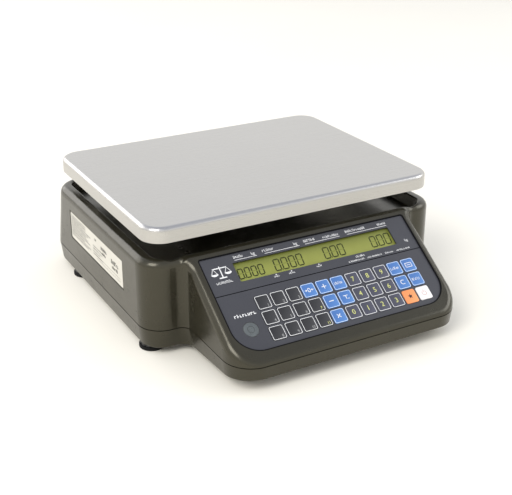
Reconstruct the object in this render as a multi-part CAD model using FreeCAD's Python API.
# Price-computing counter scale with a platter, a sloping console and 33 keys.
# Millimetres. Origin on the counter under the middle of the case's box.
# +X is the operator's right, +Y points to the customer's side, +Z is up.
import FreeCAD, Part
import math
import os
from FreeCAD import Vector, Rotation, Placement

# ---------------------------------------------------------------- driving sizes
CASE_WIDTH = 382.0          # main case, left to right
CASE_DEPTH = 433.0          # console nose to rear wall, at the parting line
CONSOLE_WIDTH = 290.0
CONSOLE_LENGTH = 118.0      # how far the console stands out of the main case
REAR_LEAN = 22.0            # the rear wall leans forward this much to the rim
CORNER_R = 28.0             # main case, front corners in plan
REAR_CORNER_R = 34.0
CONSOLE_CORNER_R = 33.0
INSIDE_CORNER_R = 12.0      # concave corner between case and console
WALL = 2.8                  # moulded wall thickness

FLOOR_Z = 8.0               # underside of the lower case
NOSE_Z = 16.0               # underside of the lower case at the console's nose
PARTING_Z = 31.0            # middle of the parting groove
GROOVE = 1.0                # parting groove height
RIM_Z = 113.5               # top of the case's rim
RIM_R = 9.5                 # rounding along the rim's outer edge
LOWER_INSET = 2.8           # draft of the lower case's walls

WELL_HALF_X = 175.4         # well under the platter
WELL_FRONT = -93.0
WELL_BACK = 185.5
WELL_R = 18.0
WELL_FLOOR_Z = 100.0
WELL_RIM_R = 2.5            # rounding along the rim's inner edge

PANEL_TILT = 34.4           # console slope, degrees
PANEL_HALF_X = 134.0
PANEL_LENGTH = 119.5        # recess length down the slope
PANEL_TOP_R = 3.0
PANEL_BOTTOM_R = 30.0
SHEET_DROP = 1.2            # overlay surface below the console rim
SHEET = 0.8                 # keypad overlay thickness
BEZEL = 1.6                 # display panel thickness
EDGE_GAP = 0.9              # open gap round both sheets
MOAT = 1.2                  # channel under that gap, below the pocket floor
SPLIT_S = 48.0              # line between display panel and keypad overlay

PLATTER_WIDTH = 370.0
PLATTER_DEPTH = 286.0
PLATTER_TOP_Z = 150.2
SKIRT = 17.5
PLATTER_CORNER_R = 25.0
PLATTER_BEND_R = 5.0
STEEL = 1.2
PLATTER_Y = 46.7            # middle of the platter and of the load cell

KEY_PITCH = 19.0
KEY_SIZE = 16.6
KEY_CORNER_R = 2.2
KEY_COLUMNS = 11
KEY_ROWS = 3
KEYS_X = 11.0               # middle of the key field
KEYS_S = 84.7
KEY_GAP = 0.3               # overlay opening around a key
KEY_PROUD = 0.6             # key top above the overlay
KEY_TRAVEL = 0.4

LCD_X0, LCD_X1 = -97.0, 107.0
LCD_S0, LCD_S1 = 12.0, 36.2
LCD_DEPTH = 3.4             # display glass below the overlay surface
LEVEL_X, LEVEL_S, LEVEL_R = -110.5, 92.5, 9.0

FOOT_X = 174.0
FOOT_FRONT_Y = -68.0
FOOT_REAR_Y = 145.0
FOOT_R = 15.0
STUD_R = 4.0                # M8 levelling screw
STUD_CLEAR = 0.05

# ---------------------------------------------------------------- derived sizes
HALF_X = CASE_WIDTH / 2
HALF_CONSOLE = CONSOLE_WIDTH / 2
NOSE_Y = -CASE_DEPTH / 2
REAR_Y = CASE_DEPTH / 2
FRONT_Y = NOSE_Y + CONSOLE_LENGTH
UPPER_Z0 = PARTING_Z + GROOVE / 2
LOWER_Z1 = PARTING_Z - GROOVE / 2
CREST_Y = -101.0            # where the rim's flat top turns into the slope
PANEL_TOP = 5.7             # recess edge below the crest, along the slope
REAR_TILT = math.degrees(math.atan2(REAR_LEAN, RIM_Z - UPPER_Z0))
UP = Vector(0, 0, 1)
PLATTER_UNDER = PLATTER_TOP_Z - STEEL
CREST_R = 7.0
SHEET_N = -SHEET_DROP       # overlay surface, along the slope's normal
POCKET_N = SHEET_N - SHEET  # floor of the keypad recess
BEZEL_N = SHEET_N - BEZEL   # floor of the deeper display recess
PANEL_FLOOR_N = -4.9        # inside face of the console's sloping wall
KEYS_X0 = KEYS_X - KEY_PITCH * (KEY_COLUMNS - 1) / 2
KEYS_S0 = KEYS_S - KEY_PITCH * (KEY_ROWS - 1) / 2
KEY_BOTTOM_N = SHEET_N - 0.35
BOARD_N = -5.1              # keypad board's upper face
DOME_TOP_N = -4.85
WELL_SLOPE = 3.0            # the well's walls lean in by this much
CASE_FLOOR = 3.0            # lower case floor thickness
PLATE_Z = FLOOR_Z + CASE_FLOOR
CELL_LENGTH, CELL_WIDTH, CELL_Z0, CELL_Z1 = 130.0, 30.0, 36.0, 58.0
HUB_X0, HUB_X1 = -65.0, -38.0
ARM_X, ARM_Y = 140.0, 95.0  # rubber pads, from the platter's middle
ARM_Z0, ARM_Z1 = 134.0, 140.0
SCREWS = [(-179, 30), (179, 30), (-165, 185), (165, 185), (-128, -178), (128, -178)]
FEET = [("front_left", -FOOT_X, FOOT_FRONT_Y), ("front_right", FOOT_X, FOOT_FRONT_Y),
        ("rear_left", -FOOT_X, FOOT_REAR_Y), ("rear_right", FOOT_X, FOOT_REAR_Y)]
LABEL_Y0, LABEL_Y1, LABEL_Z0, LABEL_Z1 = -31.0, 136.0, 58.3, 91.7
LCD_LENGTH = LCD_X1 - LCD_X0
LCD_HEIGHT = LCD_S1 - LCD_S0
REAR_DISPLAY_Z = 86.0
REAR_BEZEL_X, REAR_BEZEL_Y = 116.0, 21.0
INLET_X, INLET_Z = -142.0, 60.0
HUB_HALF = 15.0
SCREW_R = 1.6
SCREW_SEAT_Z = 20.0
BOARD_Z = 21.0
BOARD_POSTS = [(-106, -186), (106, -186), (-106, -118), (106, -118)]

os.makedirs("parts", exist_ok=True)


# ---------------------------------------------------------------- helpers
def corner(prev_pt, pt, next_pt):
    """Tangent points and middle of the arc that rounds pt by its radius."""
    here = Vector(pt[0], pt[1], 0)
    back = (Vector(prev_pt[0], prev_pt[1], 0) - here).normalize()
    ahead = (Vector(next_pt[0], next_pt[1], 0) - here).normalize()
    radius = pt[2]
    if radius <= 0:
        return here, None, here
    half = back.getAngle(ahead) / 2
    bisector = (back + ahead).normalize()
    reach = radius / math.tan(half)
    middle = here + bisector * (radius / math.sin(half) - radius)
    return here + back * reach, middle, here + ahead * reach


def outline(points, z):
    """Closed wire through (x, y, radius) corners at height z."""
    lift = Vector(0, 0, z)
    count = len(points)
    turns = []
    for i in range(count):
        turns.append(corner(points[i - 1], points[i], points[(i + 1) % count]))
    edges = []
    for i in range(count):
        start, middle, end = turns[i]
        if middle is not None:
            edges.append(Part.Arc(start + lift, middle + lift, end + lift).toShape())
        after = turns[(i + 1) % count][0]
        if (after - end).Length > 1e-6:
            edges.append(Part.LineSegment(end + lift, after + lift).toShape())
    return Part.Wire(edges)


def prism(points, z0, z1):
    return Part.Face(outline(points, z0)).extrude(Vector(0, 0, z1 - z0))


def taper(points0, z0, points1, z1):
    return Part.makeLoft([outline(points0, z0), outline(points1, z1)], True, True)


def rect(x0, x1, y0, y1, r=0.0, r_back=None):
    """Corner list, anticlockwise from the front left."""
    back = r if r_back is None else r_back
    return [(x0, y0, r), (x1, y0, r), (x1, y1, back), (x0, y1, back)]


def box(x0, x1, y0, y1, z0, z1):
    return Part.makeBox(x1 - x0, y1 - y0, z1 - z0, Vector(x0, y0, z0))


def tube(x, y, z0, z1, r):
    return Part.makeCylinder(r, z1 - z0, Vector(x, y, z0))


def fuse_all(shapes):
    if len(shapes) == 1:
        return shapes[0]
    return shapes[0].fuse(shapes[1:]).removeSplitter()


def cut_all(shape, tools):
    return shape.cut(Part.makeCompound(tools))


def on_slope(shape):
    """Place a shape drawn flat (y = -distance down the slope, z = normal)."""
    top = Vector(0, CREST_Y, RIM_Z)
    turn = Rotation(Vector(1, 0, 0), PANEL_TILT)
    shift = turn.multVec(Vector(0, -PANEL_TOP, 0))
    moved = shape.copy()
    moved.Placement = Placement(top + shift, turn).multiply(moved.Placement)
    return moved


def on_rear(shape, x, z):
    """Place a shape drawn flat (x to the customer's right, y up, z outwards)."""
    y = rear_at(z)
    face = Rotation(Vector(0, 0, 1), 180).multiply(Rotation(Vector(1, 0, 0), 90 - REAR_TILT))
    moved = shape.copy()
    moved.Placement = Placement(Vector(x, y, z), face).multiply(moved.Placement)
    return moved


def rear_at(z):
    """Rear wall's y at height z."""
    return REAR_Y - REAR_LEAN * (z - UPPER_Z0) / (RIM_Z - UPPER_Z0)


def save(name, shapes):
    if not isinstance(shapes, list):
        shapes = [shapes]
    solids = [solid for shape in shapes for solid in shape.Solids]
    body = solids[0] if len(solids) == 1 else Part.makeCompound(solids)
    if not body.isValid():
        print("INVALID", name)
    body.exportStep("parts/" + name + ".step")
    size = body.BoundBox
    print("%-28s %2d solid(s) %9.0f mm3  z %6.1f..%6.1f" % (
        name, len(solids), body.Volume, size.ZMin, size.ZMax))


# ---------------------------------------------------------------- case outline
def case_points(inset, rear=REAR_Y):
    """Plan of main case and console together, moved inwards by inset."""
    x = HALF_X - inset
    xc = HALF_CONSOLE - inset
    front = FRONT_Y + inset
    nose = NOSE_Y + inset
    back = rear - inset
    r_front = CORNER_R - inset
    r_back = REAR_CORNER_R - inset
    r_nose = CONSOLE_CORNER_R - inset
    r_in = INSIDE_CORNER_R + inset
    return [(-x, front, r_front), (-xc, front, r_in), (-xc, nose, r_nose),
            (xc, nose, r_nose), (xc, front, r_in), (x, front, r_front),
            (x, back, r_back), (-x, back, r_back)]


def slope_block(drop):
    """Everything above the console slope, lowered by drop along its normal."""
    return on_slope(Part.makeBox(600, 460, 300, Vector(-300, -400, -drop)))


def mid_and_tangent(edge):
    half = (edge.FirstParameter + edge.LastParameter) / 2
    return edge.valueAt(half), edge.tangentAt(half)


def is_crest(mid, reach):
    return abs(mid.x) < 1 and abs(mid.y - CREST_Y) < reach


def case_envelope():
    """Outer shape of the upper case, with its rim and crest rounded."""
    solid = taper(case_points(0), UPPER_Z0, case_points(0, rear_at(RIM_Z)), RIM_Z)
    solid = solid.cut(slope_block(0)).Solids[0]
    crest = []
    for edge in solid.Edges:
        mid, along = mid_and_tangent(edge)
        if is_crest(mid, 1) and abs(mid.z - RIM_Z) < 1:
            crest.append(edge)
    solid = solid.makeFillet(CREST_R, crest)
    rim = []
    for edge in solid.Edges:
        mid, along = mid_and_tangent(edge)
        if mid.z > UPPER_Z0 + 1 and abs(along.z) < 0.9 and not is_crest(mid, 8):
            rim.append(edge)
    return solid.makeFillet(RIM_R, rim)


def well_outline(outset):
    return rect(-WELL_HALF_X - outset, WELL_HALF_X + outset,
                WELL_FRONT - outset, WELL_BACK + outset, WELL_R + outset)


def key_centres():
    for row in range(KEY_ROWS):
        for column in range(KEY_COLUMNS):
            yield (row, column, KEYS_X0 + column * KEY_PITCH, -(KEYS_S0 + row * KEY_PITCH))


def square(x, y, size, r):
    half = size / 2
    return rect(x - half, x + half, y - half, y + half, r)


# ---------------------------------------------------------------- upper case
def case_cavity():
    """Inside of the upper case, which steps in under the rim's rounding."""
    start = UPPER_Z0 - 1
    step = RIM_Z - RIM_R
    top = RIM_Z - WALL
    inset = WALL + 0.6 * RIM_R
    cavity = taper(case_points(WALL, rear_at(start)), start, case_points(WALL, rear_at(step)), step)
    neck = taper(case_points(inset, rear_at(start)), start, case_points(inset, rear_at(top)), top)
    cavity = cavity.fuse(neck)
    well = prism(well_outline(WALL - WELL_SLOPE / 2), WELL_FLOOR_Z - WALL, RIM_Z)
    return cavity.cut([slope_block(-PANEL_FLOOR_N), well])


def rim_inner_edges(shape):
    picked = []
    for edge in shape.Edges:
        mid, along = mid_and_tangent(edge)
        inside = abs(mid.x) < WELL_HALF_X + 1 and WELL_FRONT - 1 < mid.y < WELL_BACK + 1
        if inside and abs(mid.z - RIM_Z) < 0.01 and edge.BoundBox.ZLength < 0.01:
            picked.append(edge)
    return picked


def upper_case():
    shell = case_envelope()
    well = taper(well_outline(-WELL_SLOPE), WELL_FLOOR_Z, well_outline(0), RIM_Z)
    shell = shell.cut(well)
    shell = shell.makeFillet(WELL_RIM_R, rim_inner_edges(shell))
    cavity = case_cavity()
    shell = shell.cut(cavity)
    posts = [tube(x, y, PARTING_Z + 2, RIM_Z - 2, 4.5).common(cavity) for x, y in SCREWS]
    hub_y = HUB_HALF + 8
    hub = (HUB_X0 - 8, HUB_X1 + 8, PLATTER_Y - hub_y, PLATTER_Y + hub_y)
    collar = prism(rect(hub[0] - 2.5, hub[1] + 2.5, hub[2] - 2.5, hub[3] + 2.5, 7),
                   WELL_FLOOR_Z - 1, WELL_FLOOR_Z + 7)
    shell = shell.fuse(posts + [collar])
    tools = [prism(rect(*hub, 4.5), WELL_FLOOR_Z - 10, WELL_FLOOR_Z + 20)]
    for x, y in SCREWS:
        tools.append(tube(x, y, PARTING_Z, PARTING_Z + 20, SCREW_R + 0.1))
    tools += panel_tools()
    tools += rear_tools()
    label_recess = (LABEL_Y0 - 2, LABEL_Y1 + 2, LABEL_Z0 - 2, LABEL_Z1 + 2)
    tools.append(box(-HALF_X - 1, -HALF_X + 0.5, *label_recess))
    return cut_all(shell, tools)


def panel_tools():
    """Recesses and holes in the console's sloping wall."""
    recess = rect(-PANEL_HALF_X, PANEL_HALF_X, -PANEL_LENGTH, 0, PANEL_BOTTOM_R, PANEL_TOP_R)
    deeper = rect(-PANEL_HALF_X, PANEL_HALF_X, -SPLIT_S + 0.2, 0, 0, PANEL_TOP_R)
    window = rect(LCD_X0 - 4, LCD_X1 + 4, -LCD_S1 - 4, -LCD_S0 + 4, 1)
    rim = 1.3
    shelf = rect(-PANEL_HALF_X + rim, PANEL_HALF_X - rim, -PANEL_LENGTH + rim, -rim,
                 PANEL_BOTTOM_R - rim, PANEL_TOP_R - rim)
    moat = prism(recess, POCKET_N - MOAT, 6).cut(prism(shelf, POCKET_N - 3, 7))
    tools = [prism(recess, POCKET_N, 6), prism(deeper, BEZEL_N, 6), prism(window, -9, 6), moat]
    for row, column, x, y in key_centres():
        tools.append(tube(x, y, -9, 0, 3.2))
    tools.append(tube(LEVEL_X, -LEVEL_S, -9, 0, LEVEL_R + 0.3))
    return [on_slope(tool) for tool in tools]


def rear_tools():
    """Display recess and mains inlet hole in the rear wall."""
    recess = rect(-REAR_BEZEL_X, REAR_BEZEL_X, -REAR_BEZEL_Y, REAR_BEZEL_Y, 4)
    half = LCD_LENGTH / 2 + 3
    tall = LCD_HEIGHT / 2 + 3
    window = rect(-half, half, -tall, tall, 1)
    inlet = rect(-13.7, 13.7, -9.95, 9.95, 1.5)
    return [on_rear(prism(recess, -1.7, 5), 0, REAR_DISPLAY_Z),
            on_rear(prism(window, -8, 5), 0, REAR_DISPLAY_Z),
            on_rear(prism(inlet, -12, 5), INLET_X, INLET_Z)]


# ---------------------------------------------------------------- lower case
def under_wedge(lift):
    """Block below the console's rising underside."""
    start = FRONT_Y + 6
    points = [Vector(-300, start, -5), Vector(-300, start, FLOOR_Z + lift),
              Vector(-300, NOSE_Y + LOWER_INSET, NOSE_Z + lift),
              Vector(-300, NOSE_Y - 30, NOSE_Z + lift + 2), Vector(-300, NOSE_Y - 30, -5)]
    return Part.Face(Part.makePolygon(points + points[:1])).extrude(Vector(600, 0, 0))


def lower_tub():
    tub = taper(case_points(LOWER_INSET), FLOOR_Z, case_points(0), LOWER_Z1)
    bottom = [edge for edge in tub.Edges if edge.BoundBox.ZMax < FLOOR_Z + 0.01]
    return tub.makeFillet(2.0, bottom).cut(under_wedge(0))


def lip_block(inset, z0, z1):
    return taper(case_points(inset, rear_at(z0)), z0, case_points(inset, rear_at(z1)), z1)


def lower_case():
    inset = LOWER_INSET + WALL
    inside = taper(case_points(inset), PLATE_Z, case_points(WALL), LOWER_Z1 + 0.5)
    inside = inside.cut(under_wedge(CASE_FLOOR))
    tub = lower_tub().cut(inside)
    lip = lip_block(WALL + 0.15, 26, PARTING_Z + 4).cut(lip_block(WALL + 1.6, 24, PARTING_Z + 6))
    lip = lip.cut(slope_block(0.3 - PANEL_FLOOR_N))
    parts = [lip]
    holes = []
    for name, x, y in FEET:
        parts.append(tube(x, y, FLOOR_Z + 1, 28, 8.5))
        holes.append(tube(x, y, FLOOR_Z - 1, 40, STUD_R + STUD_CLEAR))
    for x, y in SCREWS:
        parts.append(tube(x, y, PLATE_Z - 0.5, PARTING_Z + 1.8, 6.0))
        holes.append(tube(x, y, 0, SCREW_SEAT_Z, 4.6))
        holes.append(tube(x, y, 0, 60, 2.2))
    for x, y in BOARD_POSTS:
        parts.append(tube(x, y, FLOOR_Z + 0.5, BOARD_Z, 3.5).cut(under_wedge(1)))
    for side in (-1, 1):
        for i in range(7):
            x = side * 120 + (i - 3) * 8.0
            holes.append(prism(rect(x - 1.5, x + 1.5, 60, 110, 1.4), 0, 20))
    return cut_all(tub.fuse(parts), holes)


def case_screws():
    screws = []
    for x, y in SCREWS:
        head = tube(x, y, SCREW_SEAT_Z - 2.6, SCREW_SEAT_Z, 3.8)
        shank = tube(x, y, SCREW_SEAT_Z - 0.1, PARTING_Z + 18, SCREW_R)
        cross = [box(x - 2.2, x + 2.2, y - 0.45, y + 0.45, 0, SCREW_SEAT_Z - 1.4),
                 box(x - 0.45, x + 0.45, y - 2.2, y + 2.2, 0, SCREW_SEAT_Z - 1.4)]
        screws.append(head.fuse(shank).cut(cross))
    return screws


# ---------------------------------------------------------------- console pieces
def display_panel():
    plate = prism(rect(-PANEL_HALF_X + EDGE_GAP, PANEL_HALF_X - EDGE_GAP, -SPLIT_S + 0.7, -EDGE_GAP,
                       0, PANEL_TOP_R - EDGE_GAP), BEZEL_N, SHEET_N)
    window = prism(rect(LCD_X0, LCD_X1, -LCD_S1, -LCD_S0, 1), -9, 5)
    return on_slope(plate.cut(window))


def keypad_overlay():
    sheet = prism(rect(-PANEL_HALF_X + EDGE_GAP, PANEL_HALF_X - EDGE_GAP, -PANEL_LENGTH + EDGE_GAP,
                       -SPLIT_S, PANEL_BOTTOM_R - EDGE_GAP, 0), POCKET_N, SHEET_N)
    tools = [tube(LEVEL_X, -LEVEL_S, -9, 5, LEVEL_R + 0.1)]
    for row, column, x, y in key_centres():
        tools.append(prism(square(x, y, KEY_SIZE + 2 * KEY_GAP, KEY_CORNER_R + KEY_GAP), -9, 5))
    return on_slope(cut_all(sheet, tools))


def key(x, y):
    top = SHEET_N + KEY_PROUD
    cap = prism(square(x, y, KEY_SIZE, KEY_CORNER_R), KEY_BOTTOM_N, top)
    upper = [edge for edge in cap.Edges if abs(edge.BoundBox.ZMin - top) < 1e-4]
    cap = cap.makeFillet(0.35, upper)
    plunger = tube(x, y, DOME_TOP_N + KEY_TRAVEL + 0.05, KEY_BOTTOM_N + 0.1, 2.5)
    return on_slope(cap.fuse(plunger))


def keypad_board():
    left = KEYS_X0 - 11
    right = KEYS_X0 + KEY_PITCH * (KEY_COLUMNS - 1) + 11
    board = prism(rect(left, right, -KEYS_S0 - 2 * KEY_PITCH - 10, -KEYS_S0 + 10, 2), BOARD_N - 1.6, BOARD_N)
    domes = [tube(x, y, BOARD_N - 0.1, DOME_TOP_N, 2.9) for row, column, x, y in key_centres()]
    plug = box(left + 4, left + 30, -KEYS_S0 - 15, -KEYS_S0 - 9, BOARD_N - 7, BOARD_N - 1.5)
    return on_slope(board.fuse(domes + [plug]))


def lcd_module(x0, x1, y0, y1, front_n):
    """Glass in front of a backlight frame and its circuit board."""
    glass = box(x0 - 2.5, x1 + 2.5, y0 - 2.5, y1 + 2.5, front_n - 2.2, front_n)
    frame = box(x0 - 6, x1 + 6, y0 - 5, y1 + 5, front_n - 6.5, front_n - 2.2)
    ribbon = box(x0 + 20, x0 + 60, y0 - 4, y0 + 2, front_n - 10, front_n - 6.4)
    return glass.fuse([frame, ribbon]).removeSplitter()


def front_lcd():
    return on_slope(lcd_module(LCD_X0, LCD_X1, -LCD_S1, -LCD_S0, SHEET_N - LCD_DEPTH))


def spirit_level():
    """Capsule with a clear top, level with the overlay."""
    body = tube(LEVEL_X, -LEVEL_S, -13, SHEET_N - 0.1, LEVEL_R)
    flange = tube(LEVEL_X, -LEVEL_S, -8.0, PANEL_FLOOR_N - 0.2, LEVEL_R + 3)
    return on_slope(body.fuse(flange))


# ---------------------------------------------------------------- rear pieces
def rear_bezel():
    half_x = REAR_BEZEL_X - 0.3
    half_y = REAR_BEZEL_Y - 0.3
    plate = prism(rect(-half_x, half_x, -half_y, half_y, 3.7), -1.7, -0.1)
    window = prism(rect(-LCD_LENGTH / 2, LCD_LENGTH / 2, -LCD_HEIGHT / 2, LCD_HEIGHT / 2, 1), -9, 5)
    return on_rear(plate.cut(window), 0, REAR_DISPLAY_Z)


def rear_lcd():
    half_x = LCD_LENGTH / 2
    half_y = LCD_HEIGHT / 2
    module = lcd_module(-half_x, half_x, -half_y, half_y, -LCD_DEPTH)
    return on_rear(module, 0, REAR_DISPLAY_Z)


def power_inlet():
    flange = prism(rect(-15.5, 15.5, -12, 12, 3), 0.05, 2.6)
    body = prism(rect(-13.5, 13.5, -9.75, 9.75, 1.3), -22, 1)
    mouth = [(-12, -8, 1), (12, -8, 1), (12, 3.5, 1), (7.5, 8, 1), (-7.5, 8, 1), (-12, 3.5, 1)]
    shell = flange.fuse(body).cut(prism(mouth, -16, 5))
    return on_rear(shell, INLET_X, INLET_Z)


def inlet_pins():
    """Three flat contacts, with their solder tabs behind the moulding."""
    pins = []
    for x, y in [(-7, -2), (0, 2), (7, -2)]:
        contact = box(x - 1, x + 1, y - 2, y + 2, -16, -5)
        tab = box(x - 1, x + 1, y - 0.4, y + 0.4, -30, -22)
        pins += [on_rear(piece, INLET_X, INLET_Z) for piece in (contact, tab)]
    return pins


def rating_label():
    label = prism(rect(LABEL_Y0, LABEL_Y1, LABEL_Z0, LABEL_Z1, 2.0), 0, 0.3)
    stand = Placement(Vector(-HALF_X + 0.5, 0, 0), Rotation(Vector(1, 1, 1), 120))
    label.Placement = stand.multiply(label.Placement)
    label.translate(Vector(-0.3, 0, 0))
    return label


# ---------------------------------------------------------------- electronics
def main_board():
    """Board on the lower case's posts, with its larger parts."""
    board = box(-112, 112, -192, -112, BOARD_Z, BOARD_Z + 1.6)
    holes = [tube(x, y, BOARD_Z - 1, BOARD_Z + 3, 1.7) for x, y in BOARD_POSTS]
    top = BOARD_Z + 1.5
    chips = [box(-30, -6, -165, -141, top, top + 2.2), box(20, 48, -160, -148, top, top + 3),
             box(20, 48, -142, -130, top, top + 3), box(-80, -50, -130, -118, top, top + 8),
             box(60, 92, -130, -118, top, top + 8), box(-70, -60, -170, -150, top, top + 4)]
    cans = [tube(-92, -150, top, top + 11, 4), tube(-92, -162, top, top + 11, 4),
            tube(80, -165, top, top + 8, 5)]
    return board.cut(holes).fuse(chips + cans)


def power_supply():
    board = box(-158, -78, 126, 176, 17, 18.6)
    core = box(-128, -86, 133, 169, 18.5, 50)
    coil = prism(rect(-134, -80, 139, 163, 5), 23, 46)
    cans = [tube(-148, 140, 18.5, 40, 6.5), tube(-148, 160, 18.5, 36, 5.5)]
    feet = [tube(x, y, PLATE_Z, 17.1, 3) for x in (-152, -84) for y in (131, 171)]
    return board.fuse([core, coil] + cans + feet)


# ---------------------------------------------------------------- weighing parts
def load_cell_mount():
    """Cast plate with the raised pad under the cell and the overload stop."""
    plate = prism(rect(-90, 90, PLATTER_Y - 42, PLATTER_Y + 42, 8), PLATE_Z, PLATE_Z + 6)
    pad = box(-HUB_X1, -HUB_X0, PLATTER_Y - HUB_HALF, PLATTER_Y + HUB_HALF, PLATE_Z + 5, CELL_Z0)
    stop = tube((HUB_X0 + HUB_X1) / 2, PLATTER_Y, PLATE_Z + 5, CELL_Z0 - 0.6, 6)
    cast = plate.fuse([pad, stop])
    bolts = []
    for x in (-80, 80):
        for y in (PLATTER_Y - 32, PLATTER_Y + 32):
            cast = cast.cut(tube(x, y, 0, 40, 3.1))
            bolts.append(tube(x, y, PLATE_Z + 0.2, PLATE_Z + 10, 3.0).fuse(
                tube(x, y, PLATE_Z + 6, PLATE_Z + 10, 5.0)))
    return [cast] + bolts


def load_cell():
    """Single-point cell: a bar with two bores joined by a slot."""
    bar = box(-CELL_LENGTH / 2, CELL_LENGTH / 2, PLATTER_Y - CELL_WIDTH / 2, PLATTER_Y + CELL_WIDTH / 2,
              CELL_Z0, CELL_Z1)
    middle = (CELL_Z0 + CELL_Z1) / 2
    tools = []
    for x in (-16, 16):
        tools.append(Part.makeCylinder(8.4, 60, Vector(x, PLATTER_Y - 30, middle), Vector(0, 1, 0)))
    tools.append(box(-16, 16, PLATTER_Y - 30, PLATTER_Y + 30, middle - 3, middle + 3))
    return bar.cut(tools)


def load_spider():
    hub = box(HUB_X0, HUB_X1, PLATTER_Y - HUB_HALF, PLATTER_Y + HUB_HALF, CELL_Z1, ARM_Z0 + 1)
    plate = prism(rect(-72, 72, PLATTER_Y - 44, PLATTER_Y + 44, 10), ARM_Z0, ARM_Z1)
    reach = math.hypot(ARM_X, ARM_Y)
    turn = math.degrees(math.atan2(ARM_Y, ARM_X))
    pieces = [hub, plate]
    for angle in (turn, -turn):
        arm = prism(rect(-reach - 13, reach + 13, -13, 13, 12.9), ARM_Z0, ARM_Z1)
        rib = box(-reach + 36, reach - 36, -2.5, 2.5, ARM_Z0 - 9, ARM_Z0 + 1)
        for piece in (arm, rib):
            piece.rotate(Vector(0, 0, 0), UP, angle)
            piece.translate(Vector(0, PLATTER_Y, 0))
            pieces.append(piece)
    return fuse_all(pieces)


def spider_pads():
    return [tube(x, PLATTER_Y + y, ARM_Z1, PLATTER_UNDER, 9.5)
            for x in (-ARM_X, ARM_X) for y in (-ARM_Y, ARM_Y)]


def platter_shape(inset):
    half_x = PLATTER_WIDTH / 2 - inset
    half_y = PLATTER_DEPTH / 2 - inset
    top = PLATTER_TOP_Z - inset
    block = prism(rect(-half_x, half_x, PLATTER_Y - half_y, PLATTER_Y + half_y, PLATTER_CORNER_R - inset),
                  PLATTER_TOP_Z - SKIRT - inset, top)
    upper = [edge for edge in block.Edges if abs(edge.BoundBox.ZMin - top) < 1e-4]
    return block.makeFillet(PLATTER_BEND_R - inset, upper)


def platter():
    return platter_shape(0).cut(platter_shape(STEEL))


# ---------------------------------------------------------------- levelling feet
def foot_pad(x, y):
    pad = tube(x, y, 0, 4.2, FOOT_R)
    rims = [edge for edge in pad.Edges if edge.BoundBox.ZLength < 1e-4]
    pad = pad.makeFillet(0.8, rims)
    return pad.cut(tube(x, y, 1.5, 6, 3.05))


def foot_screw(x, y):
    wheel = tube(x, y, 4.5, FLOOR_Z - 0.3, FOOT_R - 1.5)
    grips = []
    for i in range(12):
        angle = math.radians(30 * i)
        grip_x = x + (FOOT_R - 0.8) * math.cos(angle)
        grip_y = y + (FOOT_R - 0.8) * math.sin(angle)
        grips.append(tube(grip_x, grip_y, 4, 9, 1.7))
    wheel = cut_all(wheel, grips)
    pivot = tube(x, y, 1.8, 4.6, 3.0)
    thread = tube(x, y, FLOOR_Z - 0.4, 27, STUD_R)
    return wheel.fuse([pivot, thread])


# ---------------------------------------------------------------- write the pieces
save("upper_case", upper_case())
save("lower_case", lower_case())
save("case_screws", case_screws())
save("display_panel", display_panel())
save("keypad_overlay", keypad_overlay())
save("front_lcd", front_lcd())
save("spirit_level", spirit_level())
save("rear_bezel", rear_bezel())
save("rear_lcd", rear_lcd())
save("power_inlet", power_inlet())
save("inlet_pins", inlet_pins())
save("rating_label", rating_label())
save("circuit_boards", [main_board(), keypad_board()])
save("power_supply", power_supply())
save("load_cell_mount", load_cell_mount())
save("load_cell", load_cell())
save("load_spider", load_spider())
save("spider_pads", spider_pads())
save("platter", platter())
for row, column, x, y in key_centres():
    save("key_%d_%02d" % (row + 1, column + 1), key(x, y))
for name, x, y in FEET:
    save("foot_pad_" + name, foot_pad(x, y))
    save("foot_screw_" + name, foot_screw(x, y))
